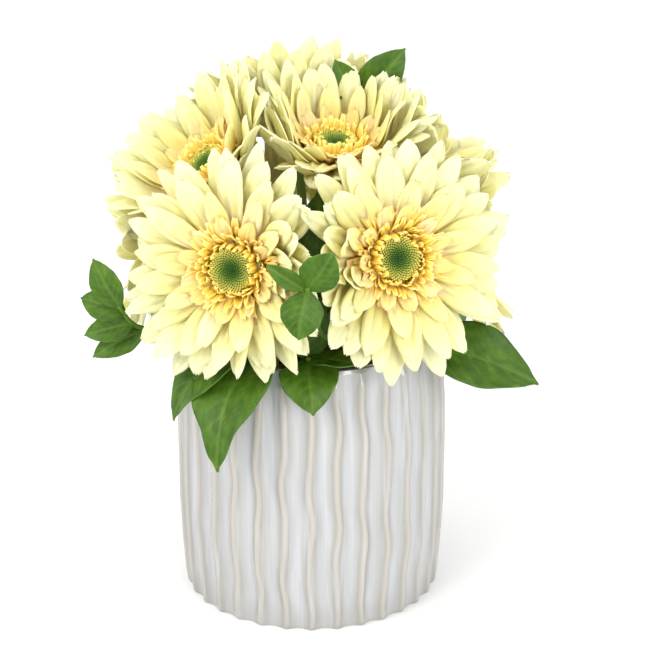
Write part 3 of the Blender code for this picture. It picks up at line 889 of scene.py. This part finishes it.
def petal_line(head, angle, layer, length, bend, stations, tip_curl=0.0):
    """Points down the middle of a petal with the ways up and ahead, and its way sideways."""
    normal, outward = head.normal, around(head.across, head.along, angle)
    steps = 2 * (stations - 1)
    r, h = PETAL_ROOT, layer.root
    line = [(r, h, math.radians(layer.rise))]
    for i in range(steps):
        s = (i + 0.5) / steps
        slope = layer.rise - PETAL_CURL * s + bend * smoothstep((s - BEND_START) / BEND_SPAN)
        slope = math.radians(slope - tip_curl * smoothstep((s - TIP_START) / TIP_SPAN))
        r += length / steps * math.cos(slope)
        h += length / steps * math.sin(slope)
        line.append((r, h, slope))
    found = []
    for r, h, slope in line[::2]:
        point = head.centre + outward * r + normal * h
        upward = normal * math.cos(slope) - outward * math.sin(slope)
        found.append((point, upward, outward * math.cos(slope) + normal * math.sin(slope)))
    return found, normal.cross(outward)


def petal_width(s, widest):
    """A petal's width at s: it widens from a narrow root and closes to a blunt tip."""
    open_share = 0.22 + 0.78 * math.sin(math.pi * min(1.0, s / FULL_WIDTH) / 2) ** 1.15
    closing = max(0.0, 1 - (max(0.0, s - CLOSING_START) / CLOSING_SPAN) ** 2) ** 0.60
    return widest * open_share * closing


def room_left(points, side, halves, planes, leaves):
    """The least distance of a petal's points from the cell's planes, the apron and leaves."""
    least = 1.0
    for (point, _, _), half in zip(points, halves):
        for origin, normal in planes:
            reach = (point - origin).dot(normal) - half * abs(side.dot(normal))
            least = min(least, reach)
        for edge in (point - side * half, point + side * half):
            radial = math.hypot(edge.x, edge.y)
            apron = APRON_HEIGHT - APRON_SLOPE * max(0.0, radial - APRON_RADIUS)
            least = min(least, edge.z - apron)
        for middle, reach in leaves:
            for place in (point - side * half, point, point + side * half):
                least = min(least, (place - middle).length - reach)
    return least


def petal_room(head, planes, leaves, angle, layer, bend, part):
    """The room that a petal leaves at this bend, when part of its length remains."""
    points, side = petal_line(head, angle, layer, layer.length * part, bend, ROOM_STATIONS)
    places = [k / (ROOM_STATIONS - 1) for k in range(ROOM_STATIONS)]
    halves = [petal_width(s, layer.widest) / 2 for s in places]
    return room_left(points[ROOM_FIRST:], side, halves[ROOM_FIRST:], planes, leaves)


def bend_profile(head, planes, steps):
    """The bend needed at each of steps angles, eased off from each one to its neighbours."""
    bends = []
    for i in range(steps):
        bend, angle = 0, 2 * math.pi * i / steps
        while bend < MOST_BEND:
            if petal_room(head, planes, (), angle, LAYERS[0], bend, 1.0) > CELL_MARGIN:
                break
            bend += BEND_STEP
        bends.append(bend)
    for _ in range(BEND_REACH):
        bends = [
            max(bends[i], BEND_EASE * max(bends[i - 1], bends[(i + 1) % steps]))
            for i in range(steps)
        ]
    return bends


def profile_at(profile, angle):
    """The eased bend at any angle, between the profile's steps."""
    place = angle / (2 * math.pi) * len(profile)
    low = math.floor(place)
    part = place - low
    count = len(profile)
    return profile[low % count] * (1 - part) + profile[(low + 1) % count] * part


def add_petal(surface, head, angle, layer, length, bend, draw):
    """One creased petal with a notched tip, twisted a little along its length."""
    tip_curl = draw.uniform(*TIP_CURL)
    twist = math.radians(draw.uniform(-TWIST, TWIST))
    wave = draw.uniform(0.0, RIPPLE)
    phase = draw.uniform(0, FULL_TURN)
    notch = draw.uniform(*NOTCH)
    lean = draw.uniform(-LEAN, LEAN)
    seed = draw.uniform(0, SEEDS)
    widest = layer.widest * draw.uniform(*PETAL_WIDTHS)
    creases = draw.uniform(*CREASES)
    line, side = petal_line(head, angle, layer, length, bend, PETAL_ALONG, tip_curl)
    grid, grain, tint = (np.zeros((PETAL_ALONG, PETAL_ACROSS, 3)) for _ in range(3))
    for k, (point, upward, forward) in enumerate(line):
        s = k / (PETAL_ALONG - 1)
        turn = Matrix.Rotation(twist * s, 3, forward)
        across, up = turn @ side, turn @ upward
        if k == PETAL_TOP_ROW:
            facing = np.array(up)
        half = petal_width(s, widest) / 2
        for j in range(PETAL_ACROSS):
            u = 2 * j / (PETAL_ACROSS - 1) - 1
            groove = CREASE_DEPTH * math.cos(creases * math.pi * u + lean) * smoothstep(s * 2.5)
            groove *= 1 - CREASE_FADE * s
            channel = (CHANNEL[0] - CHANNEL[1] * s) * (u * u - 0.5)
            ripple = wave * math.sin(RIPPLE_TURNS * s + phase) * u
            lift = half * (groove + channel + ripple)
            teeth = 0.5 - 0.5 * math.cos(math.pi * (u * NOTCH_TEETH + lean))
            near_tip = max(0.0, s - NOTCH_START)
            back = -NOTCH_DEPTH * notch * teeth * near_tip / NOTCH_SPAN
            grid[k, j] = point + across * (half * u) + up * lift + forward * back
            grain[k, j] = (u * half / PETAL_GRAIN, s, seed)
            tint[k, j] = (s * length / LAYERS[0].length, layer.peach, 0.0)
    add_blade(surface, grid, facing, PETAL_THICKNESS, grain, tint)


def make_petals(head, planes, leaves, look, draw):
    """The petal layers, each petal bent and shortened to its room, on a low round core."""
    halfway, ahead = planes
    profile = bend_profile(head, halfway, BEND_ANGLES)
    petals = Surface()
    margin = LEADING_MARGIN if head.name in LEADING else CELL_MARGIN
    for number, layer in enumerate(LAYERS):
        for i in range(layer.petals):
            place = i + 0.5 * (number % 2) + draw.uniform(-PETAL_SPACING, PETAL_SPACING)
            angle = 2 * math.pi * place / layer.petals
            bend = profile_at(profile, angle) * layer.bend_share
            part = draw.uniform(*PETAL_LENGTHS)
            while part > SHORTEST:
                room = petal_room(head, halfway + ahead, leaves, angle, layer, bend, part)
                if room > margin:
                    break
                part -= PETAL_CUT
            bend += draw.uniform(*PETAL_LIFT)
            add_petal(petals, head, angle, layer, layer.length * part, bend, draw)
    core = [head.centre + head.normal * h for h in CORE_HEIGHTS]
    add_tube(petals, core, [CORE_RADIUS * share for share in CORE_SHARES], CORE_SIDES)
    petals.piece(head.name + "_petal_layers", look, "petal", head.name + "_petals")


def make_florets(head, look, draw):
    """The curly strap florets, in rings that stand round the disc and fall outwards."""
    normal = head.normal
    florets = Surface()
    closing = YOUNG_CLOSING if head.name in YOUNG else 0
    step = FLORET_ALONG - 1
    for number, (count, root, length, width, first, curl) in enumerate(FLORET_ROWS):
        out_share = number / (len(FLORET_ROWS) - 1)
        for i in range(count):
            place = i + 0.5 * number + draw.uniform(-FLORET_SPACING, FLORET_SPACING)
            outward = around(head.across, head.along, 2 * math.pi * place / count)
            turn = draw.uniform(-FLORET_TURN, FLORET_TURN)
            side = Matrix.Rotation(turn, 3, normal) @ normal.cross(outward)
            long = length * draw.uniform(*FLORET_LENGTHS)
            bend = curl + draw.uniform(-FLORET_CURL, FLORET_CURL)
            slope = first + draw.uniform(-FLORET_SLOPE, FLORET_SLOPE) + closing * (1 - out_share)
            seed = draw.uniform(0, SEEDS)
            r = root + draw.uniform(-FLORET_ROOT, FLORET_ROOT)
            h = FLORET_BASE - FLORET_SINK
            grid, grain, tint = (np.zeros((FLORET_ALONG, FLORET_ACROSS, 3)) for _ in range(3))
            for k in range(FLORET_ALONG):
                s = k / step
                tilt = math.radians(slope + bend * s * s * FLORET_BEND)
                if k:
                    r += long / step * math.cos(tilt)
                    h += long / step * math.sin(tilt)
                half = width / 2 * (0.45 + 0.55 * math.sin(math.pi * min(1.0, 0.2 + s * 0.75)))
                upward = normal * math.cos(tilt) - outward * math.sin(tilt)
                for j in range(FLORET_ACROSS):
                    u = 2 * j / (FLORET_ACROSS - 1) - 1
                    fork = -FLORET_FORK * (1 - abs(u)) if k == step else 0.0
                    p = head.centre + outward * (r + fork * math.cos(tilt)) + normal * h
                    p += side * (half * u) + upward * (half * FLORET_HOLLOW * (u * u - 0.4))
                    grid[k, j] = p
                    grain[k, j] = (u, s, seed)
                    tint[k, j] = (s, out_share, 0.0)
            add_blade(florets, grid, np.array(normal), FLORET_THICKNESS, grain, tint)
    florets.piece(head.name + "_floret_ring", look, "floret", head.name + "_florets")


def add_bud(surface, place, axis, share, tall, number):
    """One bud, a small closed barrel with a swollen end that yellows away from the centre."""
    wide = 0.00046 + 0.00010 * share
    x, y = frame_of(axis)
    points, tint = [], []
    for k in range(BUD_RINGS):
        t = k / (BUD_RINGS - 1)
        swell = 1.0 + BUD_SWELL * (k == BUD_RINGS - 2)
        w = wide * math.sin(math.pi * (0.22 + 0.70 * t)) * swell
        for m in range(BUD_SIDES):
            spot = place + axis * (tall * t) + around(x, y, 2 * math.pi * m / BUD_SIDES) * w
            points.append(tuple(spot))
            tint.append((share, t * t * smoothstep((share - 0.30) * 1.7), 0.0))
    grain = [(number, k, 0) for k in range(len(points))]
    surface.add(points, tube_faces(BUD_RINGS, BUD_SIDES), grain, tint)


def make_disc(head, look, draw):
    """Buds packed in a spiral over a low dome, dark in the middle and yellow-tipped outside."""
    disc = Surface()
    points, tint = [], []
    for share, height in DISC_DOME:
        r, h = DISC_RADIUS * share, FLORET_BASE + DISC_HEIGHT * height
        for k in range(DISC_SIDES):
            outward = around(head.across, head.along, 2 * math.pi * k / DISC_SIDES)
            points.append(tuple(head.centre + outward * r + head.normal * h))
            tint.append((min(0.5, r / DISC_RADIUS * 0.5), 0.0, 0.0))
    faces = tube_faces(len(DISC_DOME), DISC_SIDES)
    disc.add(points, faces, np.array(points) * DOME_GRAIN, tint)
    for i in range(DISC_BUDS):
        share = math.sqrt((i + 0.5) / DISC_BUDS)
        outward = around(head.across, head.along, i * BUD_TURN)
        height = FLORET_BASE + DISC_HEIGHT * (0.40 + 0.24 * smoothstep(share * 1.3))
        place = head.centre + outward * (DISC_RADIUS * share * BUD_REACH) + head.normal * height
        axis = (head.normal + outward * BUD_LEAN * share).normalized()
        tall = 0.0014 + 0.0018 * share**2 + draw.uniform(-0.0003, 0.0005)
        add_bud(disc, place, axis, share, tall, i)
    disc.piece(head.name + "_disc_buds", look, "disc", head.name + "_disc")


def bezier(a, b, c, d, t):
    u = 1 - t
    return a * u**3 + b * (3 * u * u * t) + c * (3 * u * t * t) + d * t**3


def add_bract(surface, head, angle, long, row):
    """One pointed bract that lies on the cup under the head."""
    outward = around(head.across, head.along, angle)
    side = head.normal.cross(outward)
    grid, grain, tint = (np.zeros((BRACT_ALONG, BRACT_ACROSS, 3)) for _ in range(3))
    for k in range(BRACT_ALONG):
        s = k / (BRACT_ALONG - 1)
        h = BRACT_HEIGHT + long * s - BRACT_DROP * row
        r = BRACT_RADIUS + (h - BRACT_HEIGHT) * BRACT_OPENING + BRACT_GAP + BRACT_SPREAD * row
        half = BRACT_HALF * math.sin(math.pi * (0.25 + 0.74 * s))
        for j in range(BRACT_ACROSS):
            u = j - 1
            middle = head.centre + outward * (r - BRACT_HOLLOW * u * u) + head.normal * h
            grid[k, j] = middle + side * (half * u)
            grain[k, j] = (u, s, angle)
            tint[k, j] = (0.6 + 0.4 * s, 0.0, 0.0)
    add_blade(surface, grid, np.array(outward), BRACT_THICKNESS, grain, tint)


def make_stem(head, look, draw):
    """The stalk, and the cup under the head with its two rows of pointed bracts."""
    centre, normal, foot = head.centre, head.normal, head.foot
    stem = Surface()
    start = Vector((foot.x, foot.y, SOIL_TOP + STEM_RISE))
    neck = centre + normal * CALYX[0][1]
    reach = (neck - start).length * STEM_REACH
    ahead, back = start + Vector((0, 0, reach)), neck - normal * reach
    path = [Vector((foot.x, foot.y, HOLE_FLOOR))]
    path += [bezier(start, ahead, back, neck, i / STEM_STEPS) for i in range(STEM_STEPS)]
    radii = [STEM_RADIUS] * len(path)
    for i in range(CALYX_STEPS + 1):
        t = i / CALYX_STEPS * (len(CALYX) - 1)
        k = min(int(t), len(CALYX) - 2)
        (r0, h0), (r1, h1) = CALYX[k], CALYX[k + 1]
        path.append(centre + normal * (h0 + (h1 - h0) * (t - k)))
        radii.append(r0 + (r1 - r0) * (t - k))
    add_tube(stem, path, radii, STEM_SIDES, draw.uniform(0, 9))
    for row, (count, long) in enumerate(BRACT_ROWS):
        for i in range(count):
            add_bract(stem, head, 2 * math.pi * (i + 0.5 * row) / count, long, row)
    stem.piece(head.name + "_stalk", look, "stem", head.name + "_stem")


# Leaves


def leaf_rib(base, tip, facing, bulge, s):
    """A leaf's rib at s, with the way ahead, to the side and up from the blade."""
    control = (base + tip) / 2 + facing * (2 * bulge)
    point = base * (1 - s) ** 2 + control * (2 * s * (1 - s)) + tip * s**2
    ahead = ((control - base) * (1 - s) + (tip - control) * s).normalized()
    side = ahead.cross(facing).normalized()
    return point, ahead, side, side.cross(ahead)


def leaf_rooms(sprigs):
    """Balls round the leaves and twigs, as (middle, radius), for the petals to keep out of."""
    rooms = []
    for _, _, twig, leaves in sprigs:
        twig = [Vector(p) for p in twig]
        for a, b in zip(twig, twig[1:]):
            rooms += [(a.lerp(b, t), TWIG_RADIUS) for t in (0.0, 0.33, 0.67, 1.0)]
        for base, tip, facing, bulge, width, outline in leaves:
            for s, share in outline:
                ends = Vector(base), Vector(tip)
                point, _, side, upward = leaf_rib(*ends, direction(*facing), bulge, s)
                half = width / 2 * share
                for t in BALL_SHARES:
                    for sign in (-1, 1):
                        edge = side * (sign * half * t) + upward * (half * LEAF_FOLD * t)
                        rooms.append((point + edge, BALL_RADIUS))
    return rooms


def leaf_share(outline, s):
    """A leaf's half width at s, with the straight runs of its outline rounded off."""
    places = [min(1.0, max(0.0, s + d)) for d in LEAF_ROUNDING]
    return sum(value_at(outline, place) for place in places) / len(places)


def add_leaf(surface, leaf, draw):
    """A leaf folded along its rib, with sunk side veins and a waved edge."""
    base, tip, facing, bulge, width, outline = leaf
    base, tip, facing = Vector(base), Vector(tip), direction(*facing)
    seed, phase = draw.uniform(0, SEEDS), draw.uniform(0, FULL_TURN)
    wide_grain, long_grain = LEAF_GRAIN
    grid, grain, tint = (np.zeros((LEAF_ALONG, LEAF_ACROSS, 3)) for _ in range(3))
    for k in range(LEAF_ALONG):
        s = k / (LEAF_ALONG - 1)
        point, _, side, upward = leaf_rib(base, tip, facing, bulge, s)
        closing = math.sqrt(max(0.0, 1 - s)) * LEAF_TIP_SCALE if s > LEAF_TIP else 1.0
        half = max(width / 2 * leaf_share(outline, s) * closing, width * LEAF_LEAST)
        for j in range(LEAF_ACROSS):
            u = 2 * j / (LEAF_ACROSS - 1) - 1
            place = (s - VEIN_SLANT * abs(u) ** 1.2) * LEAF_VEINS
            near = abs(place - round(place)) * 2
            vein = max(0.0, 1 - near * VEIN_NARROWING) * (1 - VEIN_FADE * abs(u)) * (place > -0.2)
            vein = max(vein, 1 - abs(u) * half / RIB_HALF)
            wave = EDGE_WAVE * half * math.sin(EDGE_TURNS * s + phase + 1.5 * u) * u * u
            quilt = QUILT * half * (1 - vein) * math.cos(math.pi * u)
            lift = half * LEAF_FOLD * abs(u) ** 1.3 + wave + quilt - VEIN_DEPTH * vein
            grid[k, j] = point + side * (half * u) + upward * lift
            grain[k, j] = (u * half / wide_grain, s * (tip - base).length / long_grain, seed)
            tint[k, j] = (vein, s, 0.0)
    upward = leaf_rib(base, tip, facing, bulge, 0.5)[3]
    add_blade(surface, grid, np.array(upward), LEAF_THICKNESS, grain, tint)


def make_sprig(sprig, look, draw):
    """A twig that rises from the soil, with its leaves."""
    name, (azimuth, distance), twig, leaves = sprig
    foot = polar(distance, math.radians(azimuth), HOLE_FLOOR)
    above = Vector((foot.x, foot.y, SOIL_TOP + TWIG_RISE))
    path = smooth_path([foot, above, *(Vector(p) for p in twig)], TWIG_STEPS)
    piece = Surface()
    add_tube(piece, path, [TWIG_RADIUS] * len(path), TWIG_SIDES)
    for leaf in leaves:
        add_leaf(piece, leaf, draw)
    piece.piece(name + "_green", look, "leaf", name)


# Stage


def area_light(name, place, size, power, colour):
    data = bpy.data.lights.new(name, "AREA")
    data.shape = "SQUARE"
    data.size = size
    data.energy = power
    data.color = colour
    light = bpy.data.objects.new(name, data)
    light.location = place
    aim = Vector(LIT_POINT) - Vector(place)
    light.rotation_euler = aim.to_track_quat("-Z", "Y").to_euler()
    bpy.context.scene.collection.objects.link(light)


def make_stage():
    """A plain pale floor, even light from all round and two soft lamps in front."""
    corners = [(x * FLOOR_REACH, y * FLOOR_REACH, 0) for x, y in FLOOR_CORNERS]
    mesh = bpy.data.meshes.new("floor")
    mesh.from_pydata(corners, [], [(0, 1, 2, 3)])
    look, _, shader = material("floor_white", 0.6)
    shader.inputs["Base Color"].default_value = FLOOR_COLOUR
    mesh.materials.append(look)
    floor = bpy.data.objects.new("floor", mesh)
    floor.location.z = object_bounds()[0].z
    bpy.context.scene.collection.objects.link(floor)

    world = bpy.data.worlds.new("studio")
    world.use_nodes = True
    sky = world.node_tree.nodes["Background"]
    sky.inputs["Color"].default_value = SKY_COLOUR
    sky.inputs["Strength"].default_value = SKY_STRENGTH
    bpy.context.scene.world = world
    for lamp in LAMPS:
        area_light(*lamp)


def make_camera():
    data = bpy.data.cameras.new("camera")
    data.lens = CAMERA_LENS
    data.sensor_width = 36.0
    camera = bpy.data.objects.new("camera", data)
    camera.location = CAMERA_PLACE
    camera.rotation_euler = (math.radians(90.0 - CAMERA_PITCH), 0.0, 0.0)
    bpy.context.scene.collection.objects.link(camera)
    bpy.context.scene.camera = camera


def main():
    draw = random.Random(SEED)
    bpy.context.scene.view_settings.view_transform = "Standard"
    make_camera()
    make_stage()
    make_pot(glaze_material())
    make_soil(soil_material(), draw)
    petal, floret, disc = petal_material(), floret_material(), disc_material()
    stem, leaf = stem_material(), leaf_material()
    heads = head_frames()
    rooms = leaf_rooms(SPRIGS)
    for index, head in enumerate(heads):
        make_petals(head, cell_planes(heads, index), rooms, petal, draw)
        make_florets(head, floret, draw)
        make_disc(head, disc, draw)
        make_stem(head, stem, draw)
    for sprig in SPRIGS:
        make_sprig(sprig, leaf, draw)


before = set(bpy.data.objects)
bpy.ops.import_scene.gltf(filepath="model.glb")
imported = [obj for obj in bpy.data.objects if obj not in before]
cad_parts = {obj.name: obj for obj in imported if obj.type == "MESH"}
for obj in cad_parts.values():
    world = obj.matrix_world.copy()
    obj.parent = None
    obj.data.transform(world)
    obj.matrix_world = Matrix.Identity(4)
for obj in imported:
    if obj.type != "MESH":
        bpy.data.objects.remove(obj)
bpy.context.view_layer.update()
main()
